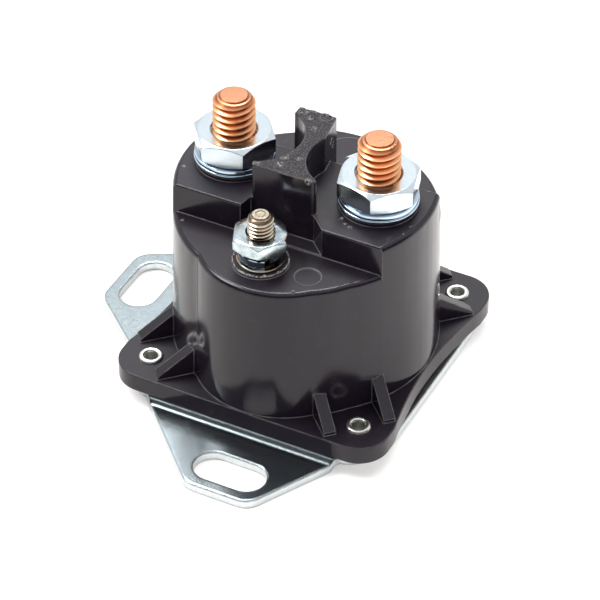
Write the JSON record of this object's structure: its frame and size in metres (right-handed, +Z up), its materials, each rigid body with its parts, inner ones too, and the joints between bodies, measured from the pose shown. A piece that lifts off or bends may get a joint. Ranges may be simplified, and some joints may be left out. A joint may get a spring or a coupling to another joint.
{
  "type": "solenoid switch",
  "caption": "Three-terminal solenoid switch: ribbed moulded body with a divider between copper studs, on a slotted two-wing bracket.",
  "frame": {"origin": "where the plunger's axis meets the plane that the bracket's wings stand on", "axes": "+Z up along the studs, +X along the line of the two copper studs, -Y towards the control stud and the front wing"},
  "size_m": [0.0692, 0.0712, 0.0558],
  "materials": {
    "moulding": "moulded black thermoset, glossy walls and satin tops",
    "zinc": "bright zinc plating with a bluish passivation",
    "copper": "bare copper, freshly cut thread",
    "tin": "bright tinned steel",
    "nickel": "nickel plated, slightly golden",
    "steel": "machined soft iron",
    "spring_steel": "drawn spring wire",
    "gasket": "thin sheet gasket",
    "nylon": "natural nylon",
    "winding": "enamelled copper wire"
  },
  "bodies": {
    "base": {"housing": "moulding", "mounting_bracket": "zinc", "base_gasket": "gasket", "rivet_front_left": "tin", "rivet_front_right": "tin", "rivet_back_right": "tin", "rivet_back_left": "tin", "stud_left": "copper", "stud_right": "copper", "stud_nut_left": "zinc", "stud_nut_right": "zinc", "spring_washer_left": "zinc", "spring_washer_right": "zinc", "flat_washer_left": "zinc", "flat_washer_right": "zinc", "control_stud": "nickel", "control_nut": "zinc", "control_lock_washer": "zinc", "control_flat_washer": "nickel", "magnet_frame": "steel", "flux_plate": "steel", "bobbin": "nylon", "coil_winding": "winding", "control_lead": "winding", "ground_lead": "winding", "guide_sleeve": "nickel", "fixed_core": "steel", "return_spring": "spring_steel"},
    "plunger_group": {"plunger": "steel", "push_rod": "steel", "rod_clip": "spring_steel", "contact_spring": "spring_steel"},
    "contact_carrier": {"contact_disc": "copper", "contact_bushing": "nylon", "contact_cap_washer": "nylon"}
  },
  "joints": [
    {"name": "plunger_slide", "type": "slide", "parent": "base", "child": "plunger_group", "axis": [0, 0, 1], "range_m": [0, 0.0025], "stiffness_N_per_m": 150, "springref_m": -0.004, "deforming": ["return_spring"]},
    {"name": "contact_slide", "type": "slide", "parent": "plunger_group", "child": "contact_carrier", "axis": [0, 0, 1], "range_m": [-0.0005, 0], "stiffness_N_per_m": 300, "springref_m": 0.002, "deforming": ["contact_spring"]}
  ],
  "couplings": [
    {"joint": "contact_slide", "follows": "plunger_slide", "ratio": -0.2}
  ]
}
